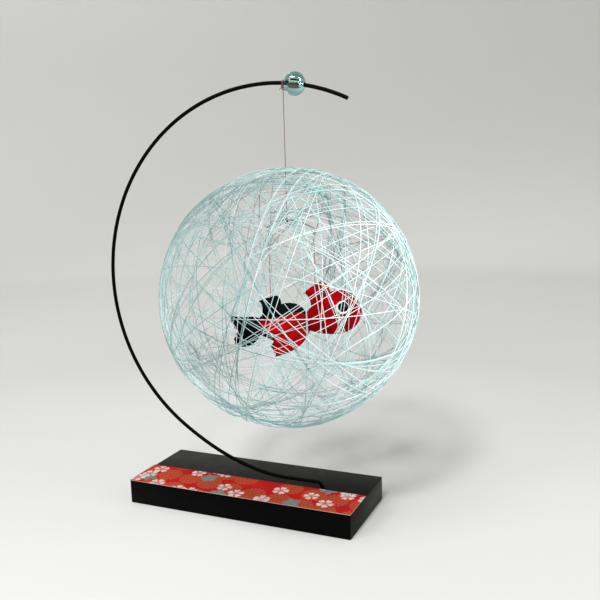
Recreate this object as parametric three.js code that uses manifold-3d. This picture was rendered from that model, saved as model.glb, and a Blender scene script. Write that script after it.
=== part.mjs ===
// An openwork thread temari ball that hangs from a bent wire stand, with two padded
// crepe goldfish hung inside it from a small balance bar. Millimetres, +Z up. The origin
// is the middle of the block's underside, and the wire stands in the plane y = 0.
import * as THREE from 'three';
import { mergeVertices } from 'three/addons/utils/BufferGeometryUtils.js';
import Module from 'manifold-3d';

const wasm = await Module();
wasm.setup();

// Driving dimensions
const GAP = 0.3;
const BASE = { length: 140, width: 56, height: 14, bevel: 0.5 };
const STRIP = { width: 26, thick: 1, proud: 0.4 };
const WIRE = {
  radius: 1, bendRadius: 109, bendX: 15, bendZ: 132, tipAngle: 64.2, leaveAngle: 235,
  runX: 22, runZ: 17.5, runReach: 25, footX: 43.3, footBend: 3.6, footDepth: 7,
};
const BEAD = { radius: 6.4, bore: 1.35, x: 32.6 };
const THREAD = { radius: 0.3, sides: 8, step: 1.8 };
const HANG = { x: 25.8, crownZ: 196.5 };
const BALL = { radius: 72.3, thick: 1.6 };
const NET = {
  bundles: 16, halfWidth: 1.1, smallestGap: 4, phase: 1.4, wobble: 0.05, wobbleTurn: 2.1, step: 15,
  crownHeading: 35, crownTurn: 74,
};
const BAR = { radius: 0.4, knotZ: 167.4, heading: -20, rightArm: 19.8, leftArm: 15, endZ: 162, ring: 1.2 };
const FISH = {
  widthRatio: 0.78, backZ: 11.8, finFront: 4.6, finLength: 12.4, finThick: 1.4,
  tailRootX: -12.9, tailSplay: 13,
  eyeX: 7.4, eyeZ: 3.4, eyeRadius: 3.35, eyeThick: 0.9, pupilRadius: 2.2, pupilThick: 0.9,
};
const RED_FISH = {
  heading: 30, pitch: 16, hangZ: 133.6, hangX: -2, finRise: 7.3, finShift: 0,
  tailStretch: 1, tailSpread: 1,
};
const BLACK_FISH = {
  heading: 52, pitch: 0, hangZ: 123.6, hangX: -5, finRise: 5, finShift: -3,
  tailStretch: 0.64, tailSpread: 0.84,
};

const rad = THREE.MathUtils.degToRad;
const ballCentre = new THREE.Vector3(HANG.x, 0, HANG.crownZ - BALL.radius);

const finishes = {
  lacquer: { color: 0x0d0d0e, roughness: 0.35, metalness: 0 },
  print: { color: 0xc22a22, roughness: 0.8, metalness: 0 },
  blackWire: { color: 0x111111, roughness: 0.5, metalness: 0.2 },
  glass: { color: 0x7fc9cc, roughness: 0.05, metalness: 0, transparent: true, opacity: 0.5 },
  roseThread: { color: 0x9a5a55, roughness: 0.8, metalness: 0 },
  aquaThread: { color: 0xcfeaea, roughness: 0.75, metalness: 0 },
  steel: { color: 0x8d8a86, roughness: 0.35, metalness: 0.9 },
  redCrepe: { color: 0xc0101a, roughness: 0.85, metalness: 0 },
  blackCrepe: { color: 0x101214, roughness: 0.85, metalness: 0 },
  whiteFelt: { color: 0xe8e6e0, roughness: 0.9, metalness: 0 },
  blackBead: { color: 0x0a0c12, roughness: 0.2, metalness: 0 },
};

function piece(name, geometry, finish) {
  const mesh = new THREE.Mesh(geometry, new THREE.MeshStandardMaterial(finishes[finish]));
  mesh.name = name;
  return mesh;
}

// A route keeps one ring of its tube at each listed point, so bends can be closely stepped
class Route extends THREE.CatmullRomCurve3 {
  getUtoTmapping(u) {
    return u;
  }
}

function tube(points, radius, sides) {
  const section = new THREE.Shape();
  for (let k = 0; k < sides; k += 1) {
    const angle = (k / sides) * 2 * Math.PI;
    const place = [radius * Math.cos(angle), radius * Math.sin(angle)];
    if (k === 0) section.moveTo(...place);
    else section.lineTo(...place);
  }
  section.closePath();
  const route = new Route(points, false, 'centripetal');
  const steps = points.length - 1;
  return new THREE.ExtrudeGeometry(section, { steps, extrudePath: route, curveSegments: 1 });
}

function arcPoints(centreX, centreZ, radius, fromDeg, toDeg, steps) {
  return Array.from({ length: steps + 1 }, (_, k) => {
    const angle = rad(fromDeg + ((toDeg - fromDeg) * k) / steps);
    return new THREE.Vector3(centreX + radius * Math.cos(angle), 0, centreZ + radius * Math.sin(angle));
  });
}

function toSolid(geometry) {
  const bare = geometry.clone();
  bare.deleteAttribute('normal');
  bare.deleteAttribute('uv');
  const merged = mergeVertices(bare, 1e-4);
  return new wasm.Manifold(new wasm.Mesh({
    numProp: 3,
    vertProperties: new Float32Array(merged.attributes.position.array),
    triVerts: new Uint32Array(merged.index.array),
  }));
}

function toGeometry(solid) {
  const mesh = solid.getMesh();
  const geometry = new THREE.BufferGeometry();
  geometry.setAttribute('position', new THREE.BufferAttribute(new Float32Array(mesh.vertProperties), 3));
  geometry.setIndex(new THREE.BufferAttribute(new Uint32Array(mesh.triVerts), 1));
  return geometry;
}

// The block: softened edges, a step for the cloth along the front and a blind hole for the wire
function baseBlock() {
  const { length, width, height, bevel } = BASE;
  const halfX = length / 2 - bevel;
  const halfY = width / 2 - bevel;
  const outline = new THREE.Shape([
    new THREE.Vector2(-halfX, -halfY), new THREE.Vector2(halfX, -halfY),
    new THREE.Vector2(halfX, halfY), new THREE.Vector2(-halfX, halfY),
  ]);
  const block = new THREE.ExtrudeGeometry(outline, {
    depth: height - 2 * bevel, bevelSize: bevel, bevelThickness: bevel, bevelSegments: 1,
  });
  block.translate(0, 0, bevel);
  const stepDepth = STRIP.thick - STRIP.proud + GAP;
  const step = new THREE.BoxGeometry(2 * length, width, 2 * stepDepth);
  step.translate(0, STRIP.width + GAP - width, height);
  const holeDepth = WIRE.footDepth + GAP;
  const hole = new THREE.CylinderGeometry(WIRE.radius + GAP, WIRE.radius + GAP, 2 * holeDepth, 16);
  hole.rotateX(Math.PI / 2);
  hole.translate(WIRE.footX, 0, height);
  return toGeometry(toSolid(block).subtract(toSolid(step)).subtract(toSolid(hole)));
}

// The printed crepe strip lies in the step, a little proud of the lacquer behind it
function clothStrip() {
  const strip = new THREE.BoxGeometry(BASE.length, STRIP.width, STRIP.thick);
  strip.translate(0, (STRIP.width - BASE.width) / 2, BASE.height + STRIP.proud - STRIP.thick / 2);
  return strip;
}

// The stand: a big round bend, a flattening run over the block and a tight foot down into it
function wireRoute() {
  const bend = arcPoints(WIRE.bendX, WIRE.bendZ, WIRE.bendRadius, WIRE.tipAngle, WIRE.leaveAngle, 34);
  const leave = bend[bend.length - 1];
  const slope = rad(WIRE.leaveAngle);
  const onward = new THREE.Vector3(-Math.sin(slope), 0, Math.cos(slope));
  const flatten = new THREE.CubicBezierCurve3(
    leave,
    leave.clone().addScaledVector(onward, WIRE.runReach),
    new THREE.Vector3(WIRE.runX - WIRE.runReach, 0, WIRE.runZ),
    new THREE.Vector3(WIRE.runX, 0, WIRE.runZ),
  );
  const footZ = WIRE.runZ - WIRE.footBend;
  const foot = arcPoints(WIRE.footX - WIRE.footBend, footZ, WIRE.footBend, 90, 0, 5);
  const end = new THREE.Vector3(WIRE.footX, 0, BASE.height - WIRE.footDepth);
  return [...bend, ...flatten.getPoints(9).slice(1), ...foot, end];
}

// The bead's bore follows the wire's slope where it sits
function wirePlace(x) {
  const angle = Math.acos((x - WIRE.bendX) / WIRE.bendRadius);
  return { z: WIRE.bendZ + WIRE.bendRadius * Math.sin(angle), slope: Math.PI / 2 - angle };
}

function glassBead() {
  const mouth = Math.asin(BEAD.bore / BEAD.radius);
  const halfLength = BEAD.radius * Math.cos(mouth);
  const profile = [new THREE.Vector2(BEAD.bore, -halfLength)];
  const steps = 12;
  for (let k = 1; k < steps; k += 1) {
    const angle = -Math.PI / 2 + mouth + ((Math.PI - 2 * mouth) * k) / steps;
    profile.push(new THREE.Vector2(BEAD.radius * Math.cos(angle), BEAD.radius * Math.sin(angle)));
  }
  profile.push(new THREE.Vector2(BEAD.bore, halfLength), profile[0].clone());
  return new THREE.LatheGeometry(profile, 20);
}

// Turns of thread round a wire of the given radius, as one closed ring
function threadRing(wireRadius) {
  return new THREE.TorusGeometry(wireRadius + GAP + THREAD.radius, THREAD.radius, 6, 12);
}

function plumbThread(x, y, topZ, bottomZ) {
  const steps = Math.round((topZ - bottomZ) / THREAD.step);
  const points = Array.from({ length: steps + 1 }, (_, k) => (
    new THREE.Vector3(x, y, topZ + ((bottomZ - topZ) * k) / steps)));
  return tube(points, THREAD.radius, THREAD.sides);
}

// The ball's bundles of turns: planes near the ball's centre, the first two crossing at its crown
function bundlePlanes() {
  const goldenAngle = Math.PI * (3 - Math.sqrt(5));
  return Array.from({ length: NET.bundles }, (_, k) => {
    const upright = k < 2;
    const rise = upright ? 0 : (k - 1.5) / (NET.bundles - 2);
    const azimuth = upright ? rad(NET.crownHeading + NET.crownTurn * k) : k * goldenAngle + NET.phase;
    const flat = Math.sqrt(1 - rise * rise);
    return {
      normal: new THREE.Vector3(flat * Math.cos(azimuth), flat * Math.sin(azimuth), rise),
      offset: upright ? 0 : NET.wobble * Math.sin(NET.wobbleTurn * k),
    };
  });
}

// The two points where two bundles cross, on a ball of radius 1
function crossings(a, b) {
  const dot = a.normal.dot(b.normal);
  const det = 1 - dot * dot;
  const near = a.normal.clone().multiplyScalar((a.offset - b.offset * dot) / det);
  near.addScaledVector(b.normal, (b.offset - a.offset * dot) / det);
  const along = new THREE.Vector3().crossVectors(a.normal, b.normal).normalize();
  const reach = Math.sqrt(1 - near.lengthSq());
  return [1, -1].map((side) => near.clone().addScaledVector(along, side * reach));
}

// Collects the triangles of the net, each turned to face out of the thread
function netSurface() {
  const corners = [];
  const inner = (BALL.radius - BALL.thick) / BALL.radius;
  const facing = (a, b, c) => new THREE.Vector3().crossVectors(b.clone().sub(a), c.clone().sub(a));
  const outward = (a, b, c) => facing(a, b, c).dot(a);
  const push = (points, scale) => points.forEach((p) => {
    corners.push(...p.clone().multiplyScalar(scale * BALL.radius).toArray());
  });
  const triangle = (a, b, c) => {
    const turn = outward(a, b, c);
    if (Math.abs(turn) < 1e-9) return;
    const [p, q, r] = turn > 0 ? [a, b, c] : [a, c, b];
    push([p, q, r], 1);
    push([p, r, q], inner);
  };
  const quad = (a, b, c, d) => {
    if (outward(a, b, c) * outward(a, c, d) >= -1e-15) {
      triangle(a, b, c);
      triangle(a, c, d);
    } else {
      triangle(a, b, d);
      triangle(b, c, d);
    }
  };
  // The wall of a gap, from the outer skin to the inner one, faces the gap's middle
  const wall = (a, b, middle) => {
    const [low, high] = [a.clone().multiplyScalar(inner), b.clone().multiplyScalar(inner)];
    const inwards = facing(a, b, high).dot(middle.clone().sub(a)) > 0;
    const [p, q, r, s] = inwards ? [a, b, high, low] : [b, a, low, high];
    push([p, q, r, p, r, s], 1);
  };
  return { corners, quad, wall };
}

// Moves a gap's middle off the nearest bundles by ever smaller steps, and gives the room found there
function roomInGap(cell, planes) {
  const clearance = () => planes.map((p) => Math.abs(p.normal.dot(cell.middle) - p.offset));
  for (let step = 0.4; step > 0.002; step *= 0.93) {
    const distances = clearance();
    const room = Math.min(...distances);
    const { normal, offset } = planes[distances.indexOf(room)];
    const side = Math.sign(normal.dot(cell.middle) - offset);
    cell.middle.addScaledVector(normal, side * step * room).normalize();
  }
  return Math.min(...clearance());
}

// The net: each gap between bundles is shrunk from its crossings, and what stays is thread
function ballNet() {
  const planes = bundlePlanes();
  const cells = new Map();
  const cellAt = (point, sides) => {
    const key = planes.map((p, m) => sides[m] ?? (p.normal.dot(point) > p.offset ? 1 : 0)).join('');
    if (!cells.has(key)) cells.set(key, { crossings: [] });
    return cells.get(key);
  };
  const knots = [];
  planes.forEach((a, i) => planes.slice(i + 1).forEach((b, step) => {
    const j = i + 1 + step;
    crossings(a, b).forEach((point) => {
      const around = [[1, 1], [0, 1], [0, 0], [1, 0]].map(([si, sj]) => cellAt(point, { [i]: si, [j]: sj }));
      around.forEach((cell) => cell.crossings.push(point));
      knots.push({ point, i, j, around });
    });
  }));
  cells.forEach((cell) => {
    const sum = cell.crossings.reduce((total, point) => total.add(point), new THREE.Vector3());
    cell.middle = sum.normalize();
    const room = roomInGap(cell, planes) * BALL.radius;
    cell.open = 2 * (room - NET.halfWidth) > NET.smallestGap;
    cell.shrink = 1 - NET.halfWidth / room;
  });
  const rim = (point, cell) => (
    cell.open ? cell.middle.clone().lerp(point, cell.shrink).normalize() : cell.middle.clone());
  const surface = netSurface();
  knots.forEach(({ point, around }) => surface.quad(...around.map((cell) => rim(point, cell))));
  planes.forEach((plane, i) => {
    const start = new THREE.Vector3(0, 0, 1).cross(plane.normal).normalize();
    const side = new THREE.Vector3().crossVectors(plane.normal, start);
    const along = knots.filter((knot) => knot.i === i || knot.j === i).map((knot) => (
      { point: knot.point, angle: Math.atan2(knot.point.dot(side), knot.point.dot(start)) }));
    along.sort((a, b) => a.angle - b.angle);
    along.forEach(({ point }, k) => {
      const next = along[(k + 1) % along.length].point;
      const half = point.clone().add(next).normalize();
      const parts = Math.ceil((point.angleTo(next) * BALL.radius) / NET.step);
      const [left, right] = [1, 0].map((value) => cellAt(half, { [i]: value }));
      const rimAt = (cell, t) => rim(point, cell).lerp(rim(next, cell), t).normalize();
      for (let m = 0; m < parts; m += 1) {
        const [from, to] = [m / parts, (m + 1) / parts];
        surface.quad(rimAt(left, from), rimAt(left, to), rimAt(right, to), rimAt(right, from));
        [left, right].filter((cell) => cell.open).forEach((cell) => {
          surface.wall(rimAt(cell, from), rimAt(cell, to), cell.middle);
        });
      }
    });
  });
  const geometry = new THREE.BufferGeometry();
  geometry.setAttribute('position', new THREE.Float32BufferAttribute(surface.corners, 3));
  return mergeVertices(geometry, 1e-3);
}

// The bar, along X about its knot: a low arch of thin wire with a ring turned at each end
function barArm(length, side) {
  const { knotZ, endZ, ring } = BAR;
  const drop = knotZ - endZ;
  const arch = [0.4, 0.75].map((t) => new THREE.Vector3(side * length * t, 0, (ring - drop) * t * t));
  const turned = arcPoints(length, -drop, ring, 60, -190, 9);
  turned.forEach((point) => point.setX(side * point.x));
  return [...arch, ...turned];
}

function barRoute() {
  return [...barArm(BAR.leftArm, -1).reverse(), new THREE.Vector3(), ...barArm(BAR.rightArm, 1)];
}

function barEnd(reach) {
  const heading = rad(BAR.heading);
  return new THREE.Vector3(HANG.x + reach * Math.cos(heading), reach * Math.sin(heading), BAR.endZ);
}

// Half-heights of a goldfish body along its length, from the nose to the tail
const BODY = [
  { x: 18.4, radius: 0 },
  { x: 17.7, radius: 3.9 },
  { x: 15.2, radius: 7.9 },
  { x: 10.8, radius: 10.8 },
  { x: 5, radius: FISH.backZ },
  { x: -1.5, radius: 10.9 },
  { x: -7.2, radius: 8.4 },
  { x: -11.2, radius: 5.9 },
  { x: -12.4, radius: 4.4 },
  { x: -12.6, radius: 0 },
];

function backHeight(x) {
  const k = BODY.findIndex((station) => station.x <= x);
  const [ahead, behind] = [BODY[k - 1], BODY[k]];
  return behind.radius + ((ahead.radius - behind.radius) * (x - behind.x)) / (ahead.x - behind.x);
}

function fishBody() {
  const profile = BODY.map(({ x, radius }) => new THREE.Vector2(radius, x)).reverse();
  const body = new THREE.LatheGeometry(profile, 18);
  body.rotateZ(-Math.PI / 2);
  body.scale(1, FISH.widthRatio, 1);
  return body;
}

// A fin is a doubled piece of cloth, cut to a curved outline and as thick as its two layers
function fin(outline) {
  const cut = { depth: FISH.finThick, bevelEnabled: false, curveSegments: 4 };
  const leaf = new THREE.ExtrudeGeometry(outline, cut);
  leaf.rotateX(Math.PI / 2);
  return leaf.translate(0, FISH.finThick / 2, 0);
}

// The dorsal fin's outline follows the back that it is sewn to and sweeps up and backwards from it
function dorsalOutline({ finRise, finShift }) {
  const front = finShift + FISH.finFront;
  const back = front - FISH.finLength;
  const ridge = FISH.backZ + finRise;
  const seam = [back, ...BODY.map(({ x }) => x).filter((x) => x > back && x < front).reverse()];
  const outline = new THREE.Shape();
  outline.moveTo(front, backHeight(front) + GAP);
  outline.quadraticCurveTo(front, ridge - 0.4, front - 3.4, ridge);
  outline.quadraticCurveTo(back + 2, ridge - 0.15 * finRise, back - 1.8, ridge - 0.45 * finRise);
  outline.quadraticCurveTo(back + 1.4, ridge - 0.7 * finRise, back, backHeight(back) + GAP);
  seam.slice(1).forEach((x) => outline.lineTo(x, backHeight(x) + GAP));
  outline.closePath();
  return outline;
}

// The tail fan's outline, measured back from its root, with its length and height against the red fish's
function tailOutline({ tailStretch, tailSpread }) {
  const at = (back, up) => [-back * tailStretch, up * tailSpread];
  const outline = new THREE.Shape();
  outline.moveTo(...at(0, 4.3));
  outline.quadraticCurveTo(...at(1.2, 6.9), ...at(5, 7));
  outline.quadraticCurveTo(...at(16, 6.6), ...at(25.7, 9));
  outline.quadraticCurveTo(...at(24.5, 2.2), ...at(19.4, -2));
  outline.quadraticCurveTo(...at(22.4, -5.6), ...at(22.9, -11));
  outline.quadraticCurveTo(...at(16, -12.2), ...at(9.5, -10.9));
  outline.quadraticCurveTo(...at(3.4, -9.4), ...at(0, -4.3));
  outline.closePath();
  return outline;
}

function goldfish(name, cloth, place, reach) {
  const placed = new THREE.Group();
  placed.position.copy(barEnd(reach)).setZ(place.hangZ);
  placed.rotation.set(0, -rad(place.pitch), rad(place.heading), 'ZYX');
  const fish = new THREE.Group();
  fish.position.set(-place.hangX, 0, -FISH.backZ - place.finRise);
  placed.add(fish);
  fish.add(piece(`${name}_body`, fishBody(), cloth));
  fish.add(piece(`${name}_dorsal`, fin(dorsalOutline(place)), cloth));
  [['left', 1], ['right', -1]].forEach(([word, side]) => {
    const tail = piece(`${name}_tail_${word}`, fin(tailOutline(place)), cloth);
    tail.geometry.translate(0, (side * (FISH.finThick + GAP)) / 2, 0);
    tail.position.set(FISH.tailRootX, 0, 0);
    tail.rotation.z = -side * rad(FISH.tailSplay);
    fish.add(tail);
    fish.add(...eye(name, word, side));
  });
  return placed;
}

// An eye is a felt disc sewn flat to the cheek, with a round black pupil on it
function eye(name, word, side) {
  const { eyeX, eyeZ, widthRatio } = FISH;
  const height = backHeight(eyeX);
  const narrowing = backHeight(eyeX - 0.5) - backHeight(eyeX + 0.5);
  const across = Math.sqrt(height ** 2 - eyeZ ** 2);
  const cheek = new THREE.Vector3(eyeX, side * across * widthRatio, eyeZ);
  const out = new THREE.Vector3(height * narrowing, (side * across) / widthRatio, eyeZ).normalize();
  const disc = (radius, thick, lift) => {
    const geometry = new THREE.CylinderGeometry(radius, radius, thick, 16);
    geometry.applyQuaternion(new THREE.Quaternion().setFromUnitVectors(new THREE.Vector3(0, 1, 0), out));
    return geometry.translate(...cheek.clone().addScaledVector(out, lift + thick / 2).toArray());
  };
  const felt = disc(FISH.eyeRadius, FISH.eyeThick, GAP);
  const pupil = disc(FISH.pupilRadius, FISH.pupilThick, FISH.eyeThick + 2 * GAP);
  return [
    piece(`${name}_eye_${word}`, felt, 'whiteFelt'),
    piece(`${name}_pupil_${word}`, pupil, 'blackBead'),
  ];
}

const ornament = new THREE.Group();
ornament.add(piece('base_block', baseBlock(), 'lacquer'));
ornament.add(piece('cloth_strip', clothStrip(), 'print'));
ornament.add(piece('stand_wire', tube(wireRoute(), WIRE.radius, 10), 'blackWire'));

const bead = piece('glass_bead', glassBead(), 'glass');
bead.position.set(BEAD.x, 0, wirePlace(BEAD.x).z);
bead.rotation.set(0, wirePlace(BEAD.x).slope, Math.PI / 2, 'YXZ');
ornament.add(bead);

const hangTop = wirePlace(HANG.x);
const loop = piece('thread_loop', threadRing(WIRE.radius), 'roseThread');
loop.position.set(HANG.x, 0, hangTop.z);
loop.rotation.set(0, Math.PI / 2 + hangTop.slope, 0);
ornament.add(loop);
const loopBottom = hangTop.z - WIRE.radius - GAP - 2 * THREAD.radius;
const hanging = plumbThread(HANG.x, 0, loopBottom - GAP, HANG.crownZ + GAP);
ornament.add(piece('hanging_thread', hanging, 'roseThread'));

const net = piece('ball_net', ballNet(), 'aquaThread');
net.position.copy(ballCentre);
ornament.add(net);

const knotTop = BAR.knotZ + BAR.radius + GAP + 2 * THREAD.radius;
const inner = plumbThread(HANG.x, 0, HANG.crownZ - BALL.thick - GAP, knotTop + GAP);
ornament.add(piece('inner_thread', inner, 'roseThread'));
const barKnot = piece('bar_knot', threadRing(BAR.radius), 'roseThread');
const bar = piece('balance_bar', tube(barRoute(), BAR.radius, 8), 'steel');
barKnot.rotation.y = Math.PI / 2;
const barGroup = new THREE.Group();
barGroup.position.set(HANG.x, 0, BAR.knotZ);
barGroup.rotation.z = rad(BAR.heading);
barGroup.add(bar, barKnot);
ornament.add(barGroup);

const ringBottom = BAR.endZ - BAR.ring - BAR.radius;
[['red', RED_FISH, BAR.rightArm], ['black', BLACK_FISH, -BAR.leftArm]].forEach(([colour, place, reach]) => {
  const { x, y } = barEnd(reach);
  const line = plumbThread(x, y, ringBottom - GAP, place.hangZ + GAP);
  ornament.add(piece(`${colour}_thread`, line, 'roseThread'));
  ornament.add(goldfish(`${colour}_fish`, `${colour}Crepe`, place, reach));
});

export default ornament;
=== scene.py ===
# An openwork ball of stiffened thread that hangs from a bent wire stand, with two padded
# crepe goldfish hung inside it. The block's underside is z = 0 and the wire stands in y = 0.
import math
import random

import bmesh
import bpy
from mathutils import Matrix, Vector, geometry, noise


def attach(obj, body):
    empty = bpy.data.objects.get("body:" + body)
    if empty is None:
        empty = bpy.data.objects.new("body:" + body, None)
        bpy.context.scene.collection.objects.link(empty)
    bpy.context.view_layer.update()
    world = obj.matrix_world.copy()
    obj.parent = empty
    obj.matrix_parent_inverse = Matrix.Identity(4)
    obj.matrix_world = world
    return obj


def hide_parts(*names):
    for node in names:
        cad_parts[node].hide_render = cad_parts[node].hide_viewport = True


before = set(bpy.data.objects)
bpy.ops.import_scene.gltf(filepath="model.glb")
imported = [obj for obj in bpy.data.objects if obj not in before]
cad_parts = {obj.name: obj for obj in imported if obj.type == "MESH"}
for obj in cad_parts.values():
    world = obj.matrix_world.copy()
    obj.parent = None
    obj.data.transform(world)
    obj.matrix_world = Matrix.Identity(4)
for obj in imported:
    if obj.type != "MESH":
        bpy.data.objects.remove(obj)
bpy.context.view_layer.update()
MM = 0.001
scene = bpy.context.scene


# CAMERA
# It looks a little down on the ornament and from its right, close enough for the block's
# edges to draw together. The lens is set for a square picture.
CAMERA_PLACE = Vector((198.35, -376.66, 187.84)) * MM
CAMERA_AZIMUTH, CAMERA_ELEVATION, CAMERA_ROLL = (math.radians(a) for a in (23.79, 8.957, -1.592))
CAMERA_LENS = 44.93

back = Vector((math.sin(CAMERA_AZIMUTH) * math.cos(CAMERA_ELEVATION),
               -math.cos(CAMERA_AZIMUTH) * math.cos(CAMERA_ELEVATION), math.sin(CAMERA_ELEVATION)))
right = Vector((math.cos(CAMERA_AZIMUTH), math.sin(CAMERA_AZIMUTH), 0))
turned = Matrix.Rotation(CAMERA_ROLL, 3, back)
axes = Matrix((turned @ right, turned @ back.cross(right), back)).transposed()
camera_data = bpy.data.cameras.new("camera")
camera_data.lens = CAMERA_LENS
camera = bpy.data.objects.new("camera", camera_data)
camera.matrix_world = Matrix.Translation(CAMERA_PLACE) @ axes.to_4x4()
scene.collection.objects.link(camera)
scene.camera = camera


# LACQUERED BLOCK
# A board of close-grained wood, its edges softened with abrasive paper and the whole of it
# sprayed with black semi-gloss lacquer. The wire's foot is pressed into a blind hole.
BLOCK = Vector((140, 56, 14)) * MM
BLOCK_EDGE = 0.6 * MM
LACQUER = (0.0012, 0.0014, 0.0014)


def piece(name, mesh, material):
    """A new part of the ornament in its finish, riding on the one body."""
    made = bpy.data.objects.new(name, mesh)
    scene.collection.objects.link(made)
    mesh.materials.clear()
    mesh.materials.append(material)
    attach(made, "root")
    return made


def to_mesh(name, bm, smooth=True):
    """The finished mesh of a bmesh, with its normals made to point outwards."""
    bmesh.ops.recalc_face_normals(bm, faces=bm.faces)
    mesh = bpy.data.meshes.new(name)
    bm.to_mesh(mesh)
    bm.free()
    if smooth:
        mesh.shade_smooth()
    else:
        mesh.shade_flat()
    return mesh


def finish(name, colour, roughness, **sockets):
    """A material with its plain values set on the shader, and the tree to add detail to."""
    made = bpy.data.materials.new(name)
    made.use_nodes = True
    shader = made.node_tree.nodes["Principled BSDF"]
    shader.inputs["Base Color"].default_value = (*colour, 1)
    shader.inputs["Roughness"].default_value = roughness
    for socket, value in sockets.items():
        shader.inputs[socket.replace("_", " ")].default_value = value
    return made


def node(tree, kind, settings=None, **inputs):
    """One node. An input is named by its socket, with _ for a space, or by _ and its number."""
    made = tree.nodes.new(f"ShaderNode{kind}")
    for key, value in (settings or {}).items():
        setattr(made, key, value)
    for key, value in inputs.items():
        socket = made.inputs[int(key[1:])] if key[0] == "_" else made.inputs[key.replace("_", " ")]
        if isinstance(value, bpy.types.NodeSocket):
            tree.links.new(value, socket)
        else:
            socket.default_value = value
    return made


def sums(tree, operation, *values):
    """The result socket of a Math node."""
    inputs = {f"_{place}": value for place, value in enumerate(values)}
    return node(tree, "Math", {"operation": operation}, **inputs).outputs[0]


def bump(tree, height, strength, distance):
    """Raises a finish's surface by a height pattern, on top of what is there."""
    shader = tree.nodes["Principled BSDF"]
    raised = node(tree, "Bump", None, Height=height, Strength=strength, Distance=distance)
    for link in shader.inputs["Normal"].links:
        tree.links.new(link.from_socket, raised.inputs["Normal"])
    tree.links.new(raised.outputs[0], shader.inputs["Normal"])


def coloured(tree, colour):
    """Gives a finish its colour from a socket."""
    tree.links.new(colour, tree.nodes["Principled BSDF"].inputs["Base Color"])


def mottle(tree, scale, low, high, detail=3):
    """Soft noise in the object's own coordinates, spread between two values."""
    place = node(tree, "TexCoord").outputs["Object"]
    cloud = node(tree, "TexNoise", None, Vector=place, Scale=scale, Detail=detail)
    return node(tree, "MapRange", None, Value=cloud.outputs[0], From_Min=0.3, From_Max=0.7,
                To_Min=low, To_Max=high).outputs[0]


lacquer = finish("black_lacquer", LACQUER, 0.3, Specular_IOR_Level=0.04)
tree = lacquer.node_tree
tree.links.new(mottle(tree, 40, 0.24, 0.36), tree.nodes["Principled BSDF"].inputs["Roughness"])
bump(tree, mottle(tree, 900, 0, 1), 0.04, 0.1 * MM)

bm = bmesh.new()
bmesh.ops.create_cube(bm, size=1)
bmesh.ops.scale(bm, vec=BLOCK, verts=bm.verts)
bmesh.ops.translate(bm, vec=(0, 0, BLOCK.z / 2), verts=bm.verts)
bmesh.ops.bevel(bm, geom=bm.edges, offset=BLOCK_EDGE, affect="EDGES", segments=3, profile=0.5, material=-1)
block = piece("lacquer_block", to_mesh("lacquer_block", bm), lacquer)
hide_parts("base_block")


# PRINTED STRIP
# A strip of red cotton crepe printed with blossoms, backed with paper and glued along the
# front half of the top. It was cut with a knife, so its edges show the pale backing.
STRIP = Vector((140, 26, 0.3)) * MM
STRIP_LIFT = 0.02 * MM
GROUND_RED = (0.55, 0.008, 0.009, 1)
GROUND_DEEP = (0.36, 0.006, 0.006, 1)
PETAL_WHITE = (0.72, 0.63, 0.60, 1)
PETAL_SHADE = (0.56, 0.38, 0.38, 1)
PETAL_PINK = (0.62, 0.24, 0.22, 1)
SILVER = (0.15, 0.19, 0.18, 1)
SILVER_VEIN = (0.30, 0.34, 0.32, 1)
GOLD = (0.35, 0.10, 0.035, 1)
BACKING = (0.55, 0.40, 0.32)
GOLD_CELLS = {"pitch": 15.5, "spare": 1.2, "keep": 0.9, "seed": 3.3}
GOLD_RINGS, GOLD_EYE, GOLD_GAP = ((2.7, 7), (5.1, 12), (7.6, 18)), 0.7, 0.45
SILVER_CELLS = {"pitch": 27, "spare": 6.5, "keep": 0.62, "seed": 5.4}
SILVER_SIZE, SILVER_DIP = 5.7, 4
BLOSSOM_CELLS = ((16.5, 5.1, 0.6, 8.1), (23, 4.8, 0.6, 2.7))
BLOSSOM_DIP, NOTCH_DEPTH, NOTCH_SLOPE = 7.5, 1.1, 10


def scattered(tree, place, pitch, spare, keep, seed):
    """Repeats the plane in skewed cells of the pitch, and shifts and turns the middle of each. Gives
    the distance from that middle, the angle round it in turns, and whether the cell is in use."""
    moved = node(tree, "Mapping", None, Vector=place, Location=(seed * pitch, seed * 0.37 * pitch, 0),
                 Rotation=(0, 0, seed))
    cells = node(tree, "VectorMath", {"operation": "SCALE"}, _0=moved.outputs[0], Scale=1 / pitch)
    cell = node(tree, "VectorMath", {"operation": "FLOOR"}, _0=cells.outputs[0])
    draw = node(tree, "TexWhiteNoise", {"noise_dimensions": "3D"}, Vector=cell.outputs[0])
    shift = node(tree, "VectorMath", {"operation": "SUBTRACT"}, _0=draw.outputs["Color"], _1=(0.5, 0.5, 0.5))
    shift = node(tree, "VectorMath", {"operation": "SCALE"}, _0=shift.outputs[0], Scale=2 * spare / pitch)
    inside = node(tree, "VectorMath", {"operation": "SUBTRACT"}, _0=cells.outputs[0], _1=cell.outputs[0])
    inside = node(tree, "VectorMath", {"operation": "SUBTRACT"}, _0=inside.outputs[0], _1=(0.5, 0.5, 0.5))
    inside = node(tree, "VectorMath", {"operation": "SUBTRACT"}, _0=inside.outputs[0], _1=shift.outputs[0])
    axis = node(tree, "SeparateXYZ", None, Vector=inside.outputs[0])
    across, along = axis.outputs["X"], axis.outputs["Y"]
    squared = sums(tree, "ADD", sums(tree, "MULTIPLY", across, across), sums(tree, "MULTIPLY", along, along))
    distance = sums(tree, "MULTIPLY", sums(tree, "SQRT", squared), pitch)
    turn = sums(tree, "DIVIDE", sums(tree, "ARCTAN2", along, across), 2 * math.pi)
    turn = sums(tree, "ADD", turn, draw.outputs["Value"])
    return distance, turn, sums(tree, "LESS_THAN", draw.outputs["Value"], keep)


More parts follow.
